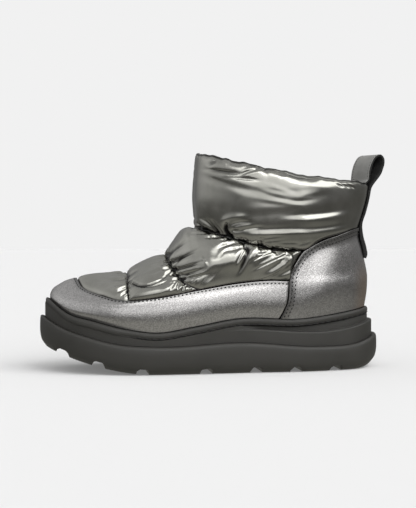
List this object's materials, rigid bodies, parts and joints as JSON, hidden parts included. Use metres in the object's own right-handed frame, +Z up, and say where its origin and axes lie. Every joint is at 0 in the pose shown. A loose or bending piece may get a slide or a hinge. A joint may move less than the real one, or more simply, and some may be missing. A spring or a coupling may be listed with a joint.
{
  "type": "winter boot",
  "caption": "Pull-on padded ankle boot with quilted foil-finish puffs, metallic leather mudguard and heel counter, tiered lugged platform sole and a back pull loop.",
  "frame": {"origin": "centre of the bounding box on the floor under the sole", "axes": "toe along -X, heel and pull loop along +X, outer side along -Y, +Z up"},
  "size_m": [0.2882, 0.1055, 0.1784],
  "materials": {
    "foil_nylon": "glossy metallic foil on nylon, padded",
    "metallic_leather": "fine grain, satin metallic",
    "sole_rubber": "matt moulded",
    "strap_leather": "smooth satin",
    "footbed_cloth": "short pile"
  },
  "bodies": {
    "root": {"outsole": "sole_rubber", "midsole": "sole_rubber", "welt": "sole_rubber", "upper": "foil_nylon", "mudguard": "metallic_leather", "heel_counter": "metallic_leather", "pull_loop": "strap_leather", "insole": "footbed_cloth"}
  },
  "joints": []
}
